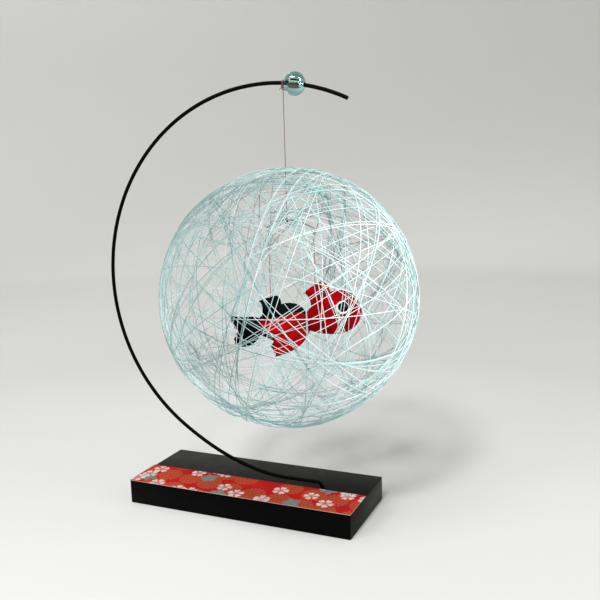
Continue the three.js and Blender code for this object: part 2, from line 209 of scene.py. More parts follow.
def petals(tree, turn, count):
    """The place across one petal, from 0 in its middle to 0.5 where it meets the next."""
    share = sums(tree, "FRACT", sums(tree, "MULTIPLY", turn, count))
    return sums(tree, "ABSOLUTE", sums(tree, "SUBTRACT", share, 0.5))


def layer(tree, under, mask, colour):
    """Prints a colour over another where the mask is 1."""
    mix = node(tree, "Mix", {"data_type": "RGBA"}, _0=mask)
    for socket, value in zip((mix.inputs[6], mix.inputs[7]), (under, colour)):
        if isinstance(value, bpy.types.NodeSocket):
            tree.links.new(value, socket)
        else:
            socket.default_value = value
    return mix.outputs[2]


def within(tree, value, limit):
    """A mask of where a value is under its limit."""
    return sums(tree, "LESS_THAN", value, limit)


def both(tree, *masks):
    """A mask of where all the masks are 1."""
    result = masks[0]
    for mask in masks[1:]:
        result = sums(tree, "MULTIPLY", result, mask)
    return result


def blossom_print():
    """Red crepe with gold chrysanthemums, silver bellflowers and white notched blossoms."""
    made = finish("blossom_print", GROUND_RED[:3], 0.85, Specular_IOR_Level=0.1)
    tree = made.node_tree
    place = node(tree, "TexCoord").outputs["Object"]
    plane = node(tree, "Mapping", None, Vector=place, Scale=(1000, 1000, 0)).outputs[0]
    colour = layer(tree, GROUND_RED, mottle(tree, 60, 0, 1), GROUND_DEEP)

    distance, turn, used = scattered(tree, plane, **GOLD_CELLS)
    start = GOLD_EYE
    for radius, petal_count in GOLD_RINGS:
        across = petals(tree, turn, petal_count)
        edge = sums(tree, "COSINE", sums(tree, "MULTIPLY", across, math.pi))
        edge = sums(tree, "ADD", edge, radius - 1)
        petal = both(tree, within(tree, across, 0.39), within(tree, distance, edge),
                     sums(tree, "GREATER_THAN", distance, start), used)
        colour = layer(tree, colour, sums(tree, "MULTIPLY", petal, mottle(tree, 900, 0.45, 1)), GOLD)
        start = sums(tree, "ADD", edge, GOLD_GAP)

    distance, turn, used = scattered(tree, plane, **SILVER_CELLS)
    across = petals(tree, turn, 5)
    edge = sums(tree, "SUBTRACT", SILVER_SIZE, sums(tree, "MULTIPLY", across, SILVER_DIP))
    colour = layer(tree, colour, both(tree, within(tree, distance, edge), used), SILVER)
    veins = both(tree, within(tree, across, 0.035), within(tree, distance, 3.6), used)
    colour = layer(tree, colour, veins, SILVER_VEIN)

    for pitch, size, keep, seed in BLOSSOM_CELLS:
        distance, turn, used = scattered(tree, plane, pitch, pitch / 2 - size, keep, seed)
        across = petals(tree, turn, 5)
        squared = sums(tree, "MULTIPLY", across, across)
        edge = sums(tree, "SUBTRACT", size, sums(tree, "MULTIPLY", squared, BLOSSOM_DIP))
        notch = sums(tree, "SUBTRACT", NOTCH_DEPTH, sums(tree, "MULTIPLY", across, NOTCH_SLOPE))
        edge = sums(tree, "SUBTRACT", edge, sums(tree, "MAXIMUM", notch, 0))
        petal = both(tree, within(tree, distance, edge), within(tree, across, 0.37),
                     sums(tree, "GREATER_THAN", distance, 0.5), used)
        blush = node(tree, "MapRange", None, Value=distance, From_Min=0.6, From_Max=2.6).outputs[0]
        tone = layer(tree, PETAL_WHITE, mottle(tree, 170, 0, 0.9), PETAL_SHADE)
        colour = layer(tree, colour, petal, layer(tree, PETAL_PINK, blush, tone))
        stamens = both(tree, within(tree, across, 0.07), within(tree, distance, 2), used)
        colour = layer(tree, colour, stamens, GROUND_DEEP)

    coloured(tree, colour)
    crinkle = node(tree, "TexVoronoi", {"feature": "SMOOTH_F1"}, Vector=place, Scale=2300)
    bump(tree, crinkle.outputs["Distance"], 0.5, 0.08 * MM)
    return made


bm = bmesh.new()
bmesh.ops.create_grid(bm, x_segments=70, y_segments=13, size=0.5)
bmesh.ops.scale(bm, vec=(STRIP.x, STRIP.y, 1), verts=bm.verts)
bmesh.ops.translate(bm, vec=(0, (STRIP.y - BLOCK.y) / 2, BLOCK.z + STRIP_LIFT), verts=bm.verts)
lower = bm.faces[:]
raised = bmesh.ops.extrude_face_region(bm, geom=lower)["geom"]
upper = [part for part in raised if isinstance(part, bmesh.types.BMVert)]
for vert in upper:
    wave = 0.06 * MM * noise.noise(vert.co * 60)
    vert.co.z += STRIP.z + wave
strip_mesh = to_mesh("printed_strip", bm, smooth=False)
strip = piece("printed_strip", strip_mesh, blossom_print())
backing = finish("paper_backing", BACKING, 0.9)
bump(backing.node_tree, mottle(backing.node_tree, 2500, 0, 1), 0.4, 0.05 * MM)
strip_mesh.materials.append(backing)
for face in strip_mesh.polygons:
    face.material_index = 0 if face.normal.z > 0.5 else 1
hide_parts("cloth_strip")


# STAND WIRE
# Two-millimetre steel wire in a thin black coating, bent round a former into a wide bow. It
# flattens over the block and turns down into it, in a fillet of lacquer; the tip is cut square.
WIRE_CORE, WIRE_COAT = 1.0 * MM, 0.08 * MM
WIRE_RADIUS = WIRE_CORE + WIRE_COAT
BOW_RADIUS, BOW_X, BOW_Z = 109 * MM, 15 * MM, 132 * MM
TIP_ANGLE, LEAVE_ANGLE = math.radians(64.2), math.radians(235)
RUN_X, RUN_Z, RUN_REACH = 22 * MM, 17.5 * MM, 25 * MM
FOOT_X, FOOT_BEND, FOOT_DEPTH = 43.3 * MM, 3.6 * MM, 7 * MM


def arc(centre_x, centre_z, radius, start, end, steps):
    """Points of an arc in the plane of the stand."""
    angles = [start + (end - start) * k / steps for k in range(steps + 1)]
    return [Vector((centre_x + radius * math.cos(a), 0, centre_z + radius * math.sin(a))) for a in angles]


def rope(name, lines, radius, sides):
    """Round stock along each line of points, as one mesh with flat ends."""
    curve = bpy.data.curves.new(name, "CURVE")
    curve.dimensions = "3D"
    curve.bevel_depth = radius
    curve.bevel_resolution = sides
    curve.use_fill_caps = True
    for line in lines:
        spline = curve.splines.new("POLY")
        spline.points.add(len(line) - 1)
        for point, place in zip(spline.points, line):
            point.co = (*place, 1)
    drawn = bpy.data.objects.new(name, curve)
    scene.collection.objects.link(drawn)
    bpy.context.view_layer.update()
    mesh = bpy.data.meshes.new_from_object(drawn.evaluated_get(bpy.context.evaluated_depsgraph_get()))
    bpy.data.objects.remove(drawn)
    mesh.name = name
    mesh.shade_smooth()
    return mesh


bow = arc(BOW_X, BOW_Z, BOW_RADIUS, TIP_ANGLE, LEAVE_ANGLE, 110)
onward = Vector((-math.sin(LEAVE_ANGLE), 0, math.cos(LEAVE_ANGLE)))
run_end = Vector((RUN_X, 0, RUN_Z))
run = geometry.interpolate_bezier(
    bow[-1], bow[-1] + onward * RUN_REACH, run_end - Vector((RUN_REACH, 0, 0)), run_end, 30)
foot = arc(FOOT_X - FOOT_BEND, RUN_Z - FOOT_BEND, FOOT_BEND, math.radians(90), 0, 10)
foot_end = Vector((FOOT_X, 0, BLOCK.z - FOOT_DEPTH))
wire_line = [*bow, *run[1:], *foot, foot_end]
coating = finish("black_coating", (0.0012, 0.0012, 0.0012), 0.4, Specular_IOR_Level=0.03)
bump(coating.node_tree, mottle(coating.node_tree, 700, 0, 1), 0.12, 0.1 * MM)
wire = piece("bent_wire", rope("bent_wire", [wire_line], WIRE_RADIUS, sides=8), coating)
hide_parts("stand_wire")


def turned_ring(name, outline, to_place):
    """A body turned about the X axis from a closed outline, and put in its place."""
    bm = bmesh.new()
    ring = [bm.verts.new(place) for place in outline]
    loop = [bm.edges.new((a, b)) for a, b in zip(ring, ring[1:] + ring[:1])]
    bmesh.ops.spin(bm, geom=ring + loop, cent=(0, 0, 0), axis=(1, 0, 0), angle=2 * math.pi, steps=56,
                   use_merge=True)
    bmesh.ops.remove_doubles(bm, verts=bm.verts, dist=0.001 * MM)
    bmesh.ops.transform(bm, matrix=to_place, verts=bm.verts)
    return to_mesh(name, bm)


FILLET_REACH, FILLET_RISE, FILLET_BORE, FILLET_LIFT = 0.75 * MM, 0.8 * MM, 0.02 * MM, 0.02 * MM
hollow = [(FILLET_RISE * (1 - math.sin(a)), FILLET_REACH * (1 - math.cos(a)))
          for a in (math.pi / 2 * k / 8 for k in range(9))]
fillet_outline = [Vector((FILLET_LIFT, 0, WIRE_RADIUS + FILLET_BORE)),
                  *(Vector((FILLET_LIFT + up, 0, WIRE_RADIUS + FILLET_BORE * 2 + out)) for up, out in hollow)]
upright = Matrix.Translation((FOOT_X, 0, BLOCK.z)) @ Matrix.Rotation(-math.pi / 2, 4, "Y")
fillet = piece("foot_fillet", turned_ring("foot_fillet", fillet_outline, upright), lacquer)


# GLASS BEAD
# A clear aqua lampwork bead, a little shorter along its bore than it is thick, threaded on the
# wire beside the hanging thread. A silvered core lines its middle. The upper glass is painted
# deeper and the rim painted darker: painted shade for the dark block and room it refracts.
BEAD_RADIUS, BEAD_HALF, BEAD_BORE, BEAD_X = 6.35 * MM, 5.9 * MM, 1.26 * MM, 32.6 * MM
SHADE_FROM, SHADE_TO = -1 * MM, 3 * MM
CORE_HALF, CORE_INNER, CORE_END, CORE_BULGE = 2.3 * MM, 1.14 * MM, 1.2 * MM, 0.5 * MM
GLASS_TOP_SHADE, GLASS_LOW, GLASS_RIM_SHADE = (0.10, 0.26, 0.25), (0.50, 0.82, 0.83), (0.01, 0.07, 0.07)


def on_wire(x):
    """The wire's middle above x, and its slope there."""
    angle = math.acos((x - BOW_X) / BOW_RADIUS)
    return Vector((x, 0, BOW_Z + BOW_RADIUS * math.sin(angle))), math.pi / 2 - angle


bead_place, bead_slope = on_wire(BEAD_X)
at_bead = Matrix.Translation(bead_place) @ Matrix.Rotation(bead_slope, 4, "Y")
mouth = math.asin(BEAD_BORE / BEAD_RADIUS)
outside = [Vector((BEAD_HALF * math.cos(a), 0, BEAD_RADIUS * math.sin(a)))
           for a in (mouth + (math.pi - 2 * mouth) * k / 36 for k in range(37))]
bore = [Vector((outside[0].x * share, 0, BEAD_BORE)) for share in (-0.97, -0.5, 0, 0.5, 0.97)]
glass = finish("aqua_glass", GLASS_LOW, 0.04, Transmission_Weight=1.0, IOR=1.5)
tree = glass.node_tree
# Painted shade: the glass is coloured deeper towards its top, for the dark block it refracts.
height = node(tree, "SeparateXYZ", None, Vector=node(tree, "TexCoord").outputs["Object"]).outputs["Z"]
share = node(tree, "MapRange", None, Value=height, From_Min=bead_place.z + SHADE_FROM,
             From_Max=bead_place.z + SHADE_TO)
tone = layer(tree, (*GLASS_LOW, 1), share.outputs[0], (*GLASS_TOP_SHADE, 1))
# Painted shade: the glass is coloured darker towards its rim, where it refracts dark surroundings.
rim = sums(tree, "POWER", node(tree, "LayerWeight", None, Blend=0.5).outputs["Facing"], 4)
coloured(tree, layer(tree, tone, rim, (*GLASS_RIM_SHADE, 1)))
bead = piece("aqua_bead", turned_ring("aqua_bead", outside + bore, at_bead), glass)
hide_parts("glass_bead")

silver = finish("silvered_core", (0.13, 0.11, 0.09), 0.2, Metallic=1.0)
bump(silver.node_tree, mottle(silver.node_tree, 900, 0, 1), 0.2, 0.05 * MM)
barrel = [Vector((CORE_HALF * math.cos(a), 0, CORE_END + CORE_BULGE * math.sin(a)))
          for a in (math.pi * k / 20 for k in range(21))]
lining = [Vector((side * CORE_HALF, 0, CORE_INNER)) for side in (-1, 1)]
core = piece("bead_core", turned_ring("bead_core", barrel + lining, at_bead), silver)


# HANGING THREAD
# Dull rose polyester thread of two plies. It is wound twice round the wire and tied,
# hangs to the crown of the ball and through it, and ends in a knot round the balance bar.
THREAD_THICK = 0.45 * MM
PLY_PITCH, PLY_STEPS, PLY_SWELL = 1.5 * MM, 8, 1.08
HANG_X, BAR_Z = 25.8 * MM, 167.4 * MM
ROSE = (0.17, 0.035, 0.045)
TREFOIL_SPAN, TREFOIL_STEPS = 5.2, 48
WRAP_STEPS, WRAP_PITCH = 16, 1.02

rose = finish("rose_thread", ROSE, 0.6, Sheen_Weight=0.15)
bump(rose.node_tree, mottle(rose.node_tree, 4000, 0, 1), 0.3, 0.05 * MM)


def two_ply(name, top, bottom):
    """A plumb thread of two plies laid round each other."""
    steps = round((top.z - bottom.z) / PLY_PITCH * PLY_STEPS)
    ply = THREAD_THICK / 4
    lines = []
    for start in (0, math.pi):
        turns = [start + 2 * math.pi * k / PLY_STEPS for k in range(steps + 1)]
        drop = [top.lerp(bottom, k / steps) for k in range(steps + 1)]
        lines.append([place + Vector((math.cos(a), math.sin(a), 0)) * ply for a, place in zip(turns, drop)])
    return rope(name, lines, ply * PLY_SWELL, sides=1)


def knot_line(centre, size, tilt):
    """An overhand knot drawn up tight: the line of a trefoil."""
    turns = [2 * math.pi * k / TREFOIL_STEPS for k in range(TREFOIL_STEPS)]
    drawn = [Vector((math.sin(t) + 2 * math.sin(2 * t), -math.sin(3 * t), math.cos(t) - 2 * math.cos(2 * t)))
             for t in turns]
    turned = Matrix.Rotation(tilt, 3, "Z")
    return [centre + turned @ place * (size / TREFOIL_SPAN) for place in drawn]


def lashing(name, centre, slope, heading, core, wraps, knot_size):
    """Turns of thread wound close round a wire, with the knot and two clipped ends below them."""
    winding = core + THREAD_THICK / 2
    across = Matrix.Rotation(heading, 3, "Z") @ Matrix.Rotation(slope, 3, "Y")
    coil = []
    for k in range(wraps * WRAP_STEPS + 1):
        a = 2 * math.pi * k / WRAP_STEPS
        step = (k / WRAP_STEPS - wraps / 2) * THREAD_THICK * WRAP_PITCH
        coil.append(centre + across @ Vector((step, winding * math.sin(a), -winding * math.cos(a))))
    knot_place = centre - Vector((0, 0, winding + knot_size * 0.42))
    ends = [[knot_place, knot_place + across @ Vector((side * 0.5, -0.4, -0.3)) * knot_size,
             knot_place + across @ Vector((side * 0.7, -0.5, -0.8)) * knot_size] for side in (-1, 1)]
    lines = [coil, knot_line(knot_place, knot_size, heading), *ends]
    return piece(name, rope(name, lines, THREAD_THICK / 2, sides=1), rose)


wire_place, wire_slope = on_wire(HANG_X)
wire_knot = lashing("wire_knot", wire_place, wire_slope, heading=0, core=WIRE_RADIUS, wraps=2,
                    knot_size=2.2 * MM)
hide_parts("thread_loop")


# BALANCE BAR
# Thin hard steel wire from which the fish hang, bowed a little and turned into a ring at
# each end. The thread is knotted round its middle, where the two fish balance.
BAR_RADIUS = 0.4 * MM
BAR_HEADING = math.radians(-20)
BAR_ARMS = {"red": 19.8 * MM, "black": -15 * MM}
BAR_END_Z, BAR_RING = 162 * MM, 1.2 * MM


def bar_arm(reach):
    """One arm of the bar, in the bar's own plane, out to the ring that is turned at its end."""
    side = math.copysign(1, reach)
    drop = BAR_Z - BAR_END_Z
    arch = [Vector((reach * t, 0, (BAR_RING - drop) * t * t)) for t in (0.15, 0.3, 0.45, 0.6, 0.75, 0.87)]
    ring = arc(abs(reach), -drop, BAR_RING, math.radians(70), math.radians(-200), 24)
    return arch + [Vector((side * place.x, 0, place.z)) for place in ring]


def bar_end(reach):
    """The middle of the ring at the end of an arm."""
    return Vector((HANG_X + reach * math.cos(BAR_HEADING), reach * math.sin(BAR_HEADING), BAR_END_Z))


at_bar = Matrix.Translation((HANG_X, 0, BAR_Z)) @ Matrix.Rotation(BAR_HEADING, 4, "Z")
bar_line = [*reversed(bar_arm(BAR_ARMS["black"])), Vector(), *bar_arm(BAR_ARMS["red"])]
steel = finish("hard_steel", (0.30, 0.29, 0.28), 0.35, Metallic=1.0)
bump(steel.node_tree, mottle(steel.node_tree, 1500, 0, 1), 0.2, 0.05 * MM)
bar_mesh = rope("steel_bar", [[at_bar @ place for place in bar_line]], BAR_RADIUS, sides=4)
bar = piece("steel_bar", bar_mesh, steel)
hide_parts("balance_bar")

knot_at_bar = lashing("bar_lashing", Vector((HANG_X, 0, BAR_Z)), slope=0, heading=BAR_HEADING,
                      core=BAR_RADIUS, wraps=3, knot_size=1.2 * MM)
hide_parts("bar_knot")

thread_top = wire_place - Vector((0, 0, WIRE_RADIUS + THREAD_THICK / 2))
thread_end = Vector((HANG_X, 0, BAR_Z + BAR_RADIUS + THREAD_THICK / 2))
hanging = piece("hanging_line", two_ply("hanging_line", thread_top, thread_end), rose)
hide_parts("hanging_thread", "inner_thread")


# THREAD BALL
# Nearly sixty metres of pale aqua thread, wet with starch glue and wound round a balloon a turn
# or two at a time, now this way and now that. Once it is stiff, the balloon is let down and drawn
# out. Each turn is given its own paleness at random, from white to deep aqua: painted light
# and shade for lit and shaded strands.
BALL_CENTRE = Vector((25.8, 0, 124.2)) * MM
BALL_RADIUS = 72.3 * MM
STRAND = 0.36 * MM
LAYERS = 1.1 * MM
BUNDLES, PASSES, TURNS = 16, 5, 2
STEPS = 90
FAN, STRAY, OFF_CENTRE = math.radians(2.6), math.radians(7), 0.035
WINDING_SEED, PALENESS_SEED, PALENESS_SHARE = 57, 8, 0.7
AQUA = (0.19, 0.42, 0.42)
WHITE = (0.79, 0.87, 0.87)
CROWN_HEADING, CROWN_TURN = math.radians(35), math.radians(74)
SPIRAL_PHASE = 1.4


def bundle_plane(k):
    """The plane that a bundle lies in, as its normal: two upright ones cross at the crown, and
    the others follow a golden spiral over half a globe."""
    upright = k < 2
    rise = 0 if upright else (k - 1.5) / (BUNDLES - 2)
    azimuth = CROWN_HEADING + CROWN_TURN * k if upright else k * math.pi * (3 - math.sqrt(5)) + SPIRAL_PHASE
    flat = math.sqrt(1 - rise * rise)
    return Vector((flat * math.cos(azimuth), flat * math.sin(azimuth), rise))


def winding_planes(draw):
    """The plane of every turn in the order of winding, each bundle fanned about a hub of its own."""
    planes = []
    left = list(range(BUNDLES)) * PASSES
    last = bundle_plane(left[0])
    while left:
        k = max(left, key=lambda index: abs(bundle_plane(index).dot(last)) - 0.5 * draw.random())
        left.remove(k)
        normal = bundle_plane(k)
        if normal.dot(last) < 0:
            normal.negate()
        hub = Matrix.Rotation(draw.uniform(0, math.pi), 3, normal) @ normal.orthogonal().normalized()
        lean = Matrix.Rotation(draw.gauss(0, STRAY), 3, hub)
        lean = lean @ Matrix.Rotation(draw.gauss(0, STRAY), 3, normal.cross(hub))
        for turn in range(draw.choice((1, 1, TURNS, TURNS, TURNS))):
            fan = Matrix.Rotation(FAN * turn * draw.uniform(0.3, 1.5), 3, hub)
            planes.append((lean @ fan @ normal).normalized())
        last = planes[-1]
    return planes


def wound_line():
    """The thread's line on a globe of radius 1, and how pale it is at each point. It goes once
    round in each plane, and turns into the next plane where the two cross."""
    draw = random.Random(WINDING_SEED)
    paleness_draw = random.Random(PALENESS_SEED)
    planes = winding_planes(draw)
    ahead = planes[0].orthogonal().normalized()
    line = []
    paleness = []
    for plane, following in zip(planes, planes[1:] + planes[:1]):
        meet = plane.cross(following).normalized()
        if meet.dot(ahead) < 0:
            meet.negate()
        side = plane.cross(ahead)
        sweep = 2 * math.pi + math.atan2(meet.dot(side), meet.dot(ahead))
        steps = round(STEPS * sweep / (2 * math.pi))
        shift = draw.gauss(0, OFF_CENTRE)
        # Painted light and shade: each turn gets a paleness at random, standing for lit and shaded strands.
        paleness += [paleness_draw.random()] * steps
        for k in range(steps):
            a = sweep * k / steps
            swell = math.sin(math.pi * k / steps)
            line.append((ahead * math.cos(a) + side * math.sin(a) + plane * shift * swell).normalized())
        ahead = meet
    return line, paleness


def eased(line, rounds):
    """Draws out the corners of a line on the globe, as tension does."""
    for _ in range(rounds):
        line = [line[0], *((a + b + c).normalized() for a, b, c in zip(line, line[1:], line[2:])), line[-1]]
    return line


wound, paleness = wound_line()
strand_line = eased(wound, rounds=5)
rise = LAYERS / len(strand_line)
inner = BALL_RADIUS - STRAND / 2 - LAYERS
places = [BALL_CENTRE + point * (inner + rise * k) for k, point in enumerate(strand_line)]
ball_mesh = rope("thread_ball", [places], STRAND / 2, sides=0)
around = len(ball_mesh.vertices) // len(places)
tint = ball_mesh.attributes.new("paleness", "FLOAT", "POINT")
paleness.append(paleness[-1])  # for the vertices of the end caps, which come last
owners = [min(k // around, len(places)) for k in range(len(ball_mesh.vertices))]
tint.data.foreach_set("value", [paleness[owner] for owner in owners])

aqua = finish("stiffened_aqua_thread", AQUA, 0.5, Specular_IOR_Level=0.35)
tree = aqua.node_tree
# Painted light and shade: paler turns are coloured white, the others deep aqua.
pale = node(tree, "Attribute", {"attribute_name": "paleness"}).outputs["Fac"]
pale = sums(tree, "ADD", sums(tree, "MULTIPLY", pale, PALENESS_SHARE), mottle(tree, 24, 0, 1 - PALENESS_SHARE))
coloured(tree, layer(tree, (*AQUA, 1), pale, (*WHITE, 1)))
bump(tree, mottle(tree, 2600, 0, 1), 0.5, 0.08 * MM)
ball = piece("thread_ball", ball_mesh, aqua)
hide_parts("ball_net")


# GOLDFISH
# Two fish of crepe: a stuffed body of two panels with a seam along back and belly, a doubled
# dorsal fin, two doubled tail fans, and felt eyes with round black pupils. Sizes are in mm.
FISH_WIDTH, FISH_BACK = 0.78, 11.8
FIN_FRONT, FIN_LENGTH, FIN_THICK = 4.6, 12.4, 1.4
TAIL_ROOT, TAIL_SPLAY = -12.9, math.radians(13)
EYE_X, EYE_Z, EYE_RADIUS, EYE_THICK = 7.4, 3.4, 3.5, 0.8
PUPIL_RADIUS, PUPIL_AHEAD, PUPIL_UP = 2.85, 0.3, 0.2
FELT_DROOP, PUPIL_DROOP, SOFT_RIM = 1 / 21, 1 / 26, 0.18
SEAM_DEPTH, SEAM_WIDTH, DENT_DEPTH, DENT_SCALE = 0.42, 0.55, 0.35, 0.16
PUCKER_DEPTH, PUCKER_WIDTH, PUCKER_PITCH = 0.17, 2.4, 1.9
FISH = {
    "red": {"heading": 30, "pitch": 16, "hang_z": 133.6, "hang_x": -2, "fin_rise": 7.3, "fin_shift": 0,
            "tail_stretch": 1, "tail_spread": 1, "colour": (0.35, 0.0, 0.002), "deep": (0.12, 0.0, 0.001)},
    "black": {"heading": 52, "pitch": 0, "hang_z": 123.6, "hang_x": -5, "fin_rise": 5, "fin_shift": -3,
              "tail_stretch": 0.64, "tail_spread": 0.84, "colour": (0.0026, 0.0034, 0.004),
              "deep": (0.0015, 0.0018, 0.0022)},
}


def crepe(name, colour, deep):
    """Crinkled silk crepe: small uneven pebbles, with painted shade in the dips between them."""
    made = finish(name, colour, 0.8, Specular_IOR_Level=0.03)
    tree = made.node_tree
    place = node(tree, "TexCoord").outputs["Object"]
    bent = node(tree, "TexNoise", None, Vector=place, Scale=500, Detail=2)
    shift = node(tree, "VectorMath", {"operation": "SCALE"}, _0=bent.outputs["Color"], Scale=0.6 * MM)
    moved = node(tree, "VectorMath", {"operation": "ADD"}, _0=place, _1=shift.outputs[0])
    pebbles = node(tree, "TexVoronoi", {"feature": "SMOOTH_F1"}, Vector=moved.outputs[0], Scale=2100)
    tone = layer(tree, (*colour, 1), mottle(tree, 140, 0, 0.85), (*deep, 1))
    # Painted shade: the deep colour is laid into the dips between the pebbles, where the bump sinks.
    coloured(tree, layer(tree, tone, sums(tree, "MULTIPLY", pebbles.outputs["Distance"], 0.35), (*deep, 1)))
    bump(tree, pebbles.outputs["Distance"], -0.8, 0.12 * MM)
    return made


def fish_body(fish):
    """The stuffed body along X: a turned form, flattened, drawn in and puckered along its seam."""
    nose, top = Vector((18.3, 0, 0)), Vector((5.5, 0, FISH_BACK))
    stub, end = Vector((-11.6, 0, 5.4)), Vector((-12.6, 0, 0))
    stretches = ((nose, nose + Vector((0, 0, 7)), top + Vector((7, 0, 0.1)), top, 18),
                 (top, top - Vector((7, 0, 0)), stub + Vector((4.5, 0, 2.6)), stub, 18),
                 (stub, stub - Vector((1.1, 0, 0.6)), end + Vector((0, 0, 2)), end, 6))
    line = [nose]
    for stretch in stretches:
        line += geometry.interpolate_bezier(*stretch)[1:]
    bm = bmesh.new()
    verts = [bm.verts.new(place) for place in line]
    edges = [bm.edges.new(pair) for pair in zip(verts, verts[1:])]
    bmesh.ops.spin(bm, geom=verts + edges, cent=(0, 0, 0), axis=(1, 0, 0), angle=2 * math.pi, steps=72,
                   use_merge=True)
    bmesh.ops.remove_doubles(bm, verts=bm.verts, dist=0.001)
    for vert in bm.verts:
        x, y, z = vert.co
        from_seam = abs(y)
        draw_in = SEAM_DEPTH * math.exp(-(from_seam / SEAM_WIDTH) ** 2)
        stitch = math.sin(2 * math.pi * x / PUCKER_PITCH + (1 if z > 0 else 3))
        pucker = PUCKER_DEPTH * math.exp(-(from_seam / PUCKER_WIDTH) ** 2) * stitch
        dent = DENT_DEPTH * noise.noise(Vector((x, y, z)) * DENT_SCALE + Vector((fish["heading"], 0, 0)))
        reach = math.hypot(y, z)
        if reach > 0.5:
            vert.co.yz = Vector((y, z)) * (1 + (pucker + dent - draw_in) * min(1, reach / 4) / reach)
        vert.co.y *= FISH_WIDTH
    return bm


def leaf(edges, rows, columns, pleats, depth, thick):
    """Two layers of cloth sewn round their rim, in the X-Z plane. The edges are root, far edge,
    first side and second side; pleats deepen towards the far edge."""
    root, far, first, second = edges
    bm = bmesh.new()
    for side in (1, -1):
        grid = bmesh.ops.create_grid(bm, x_segments=rows, y_segments=columns, size=0.5)["verts"]
        for vert in grid:
            u, v = vert.co.x + 0.5, vert.co.y + 0.5
            place = first(u).lerp(second(u), v) + root(v).lerp(far(v), u)
            place -= root(0).lerp(far(0), u).lerp(root(1).lerp(far(1), u), v)
            rim = min(u * 1.6, 1 - u, v, 1 - v)
            full = 0.35 + 0.65 * min(1, rim / 0.09) ** 0.6
            pleat = depth * u * math.sin(2 * math.pi * pleats * v)
            vert.co = (place.x, pleat + side * thick / 2 * full, place.y)
    rim_edges = [edge for edge in bm.edges if edge.is_boundary]
    bmesh.ops.bridge_loops(bm, edges=rim_edges)
    return bm


def bend(*points):
    """A smooth line through two or three points with a pull between each pair, as a function of
    the share along it."""
    curves = [points[k:k + 3] for k in range(0, len(points) - 2, 2)]

    def at(share):
        k = min(int(share * len(curves)), len(curves) - 1)
        t = share * len(curves) - k
        start, pull, end = (Vector(point) for point in curves[k])
        return start.lerp(pull, t).lerp(pull.lerp(end, t), t)
    return at


def back_height(x):
    """The height of the fish's back at x."""
    stations = ((18.4, 0), (17.7, 3.9), (15.2, 7.9), (10.8, 10.8), (5, 11.8), (-1.5, 10.9), (-7.2, 8.4),
                (-11.2, 5.9), (-12.4, 4.4))
    for (ahead, high), (behind, low) in zip(stations, stations[1:]):
        if behind <= x <= ahead:
            return low + (high - low) * (x - behind) / (ahead - behind)
    return 0


def dorsal_fin(fish):
    """The fin from its seam on the back up to its crest, which falls towards the tail."""
    front = fish["fin_shift"] + FIN_FRONT
    rear = front - FIN_LENGTH
    rise = fish["fin_rise"]
    ridge = FISH_BACK + rise
    seam = -0.5

    def root(v):
        x = front + (rear - front) * v
        return Vector((x, back_height(x) + seam))
    crest = bend((front - 3.4, ridge), (rear + 2, ridge - 0.15 * rise), (rear - 1.8, ridge - 0.45 * rise))
    fore = bend(root(0), (front, ridge - 0.4), (front - 3.4, ridge))
    aft = bend(root(1), (rear + 1.4, ridge - 0.7 * rise), (rear - 1.8, ridge - 0.45 * rise))
    return leaf((root, crest, fore, aft), 14, 18, 2.5, 0.45, FIN_THICK)


def tail_fan(fish):
    """One forked tail fan behind its root, pleated, with an uneven trailing edge."""
    stretch, spread = fish["tail_stretch"], fish["tail_spread"]

    def at(aft, up):
        return (-aft * stretch, up * spread)
    root = bend(at(-0.8, 4), at(-0.8, 0), at(-0.8, -4))
    upper = bend(at(-0.8, 4), at(1.2, 6.9), at(5, 7), at(16, 6.6), at(25.7, 9))
    lower = bend(at(-0.8, -4), at(3.4, -9.4), at(9.5, -10.9), at(16, -12.2), at(22.9, -11))
    fork = bend(at(25.7, 9), at(24.5, 2.2), at(19.4, -2), at(22.4, -5.6), at(22.9, -11))

    def trail(v):
        return fork(v) + Vector((0.75 * math.sin(9 * math.pi * v), 0)) * stretch
    return leaf((root, trail, upper, lower), 26, 24, 3, 0.75 * stretch, FIN_THICK)


felt = finish("white_felt", (0.80, 0.78, 0.73), 0.95, Sheen_Weight=0.5)
bump(felt.node_tree, mottle(felt.node_tree, 2600, 0, 1, detail=5), 0.8, 0.12 * MM)
shine = finish("black_pupil", (0.001, 0.0015, 0.005), 0.25, Specular_IOR_Level=0.08)
bump(shine.node_tree, mottle(shine.node_tree, 900, 0, 1), 0.05, 0.05 * MM)


def cheek_place(side):
    """A frame on the cheek whose Z points out of the body, at the middle of an eye."""
    height = back_height(EYE_X)
    narrowing = back_height(EYE_X - 0.5) - back_height(EYE_X + 0.5)
    across = math.sqrt(height ** 2 - EYE_Z ** 2)
    out = Vector((height * narrowing, side * across / FISH_WIDTH, EYE_Z)).normalized()
    middle = Vector((EYE_X, side * across * FISH_WIDTH, EYE_Z))
    return Matrix.Translation(middle) @ out.to_track_quat("Z", "Y").to_matrix().to_4x4()


def felt_disc():
    """A punched disc of felt that lies down over the round of the cheek."""
    bm = bmesh.new()
    bmesh.ops.create_cone(bm, cap_ends=True, segments=40, radius1=EYE_RADIUS, radius2=EYE_RADIUS,
                          depth=EYE_THICK)
    caps = [face for face in bm.faces if len(face.verts) > 4]
    for width in (0.35, 0.9, 0.9, 0.6):
        bmesh.ops.inset_region(bm, faces=caps, thickness=width)
    bmesh.ops.translate(bm, vec=(0, 0, EYE_THICK / 2 + 0.1), verts=bm.verts)
    for vert in bm.verts:
        away = math.hypot(vert.co.x, vert.co.y)
        soft = SOFT_RIM if away > EYE_RADIUS - 0.1 and vert.co.z > EYE_THICK / 2 else 0
        vert.co.z -= away ** 2 * FELT_DROOP + soft
    return bm


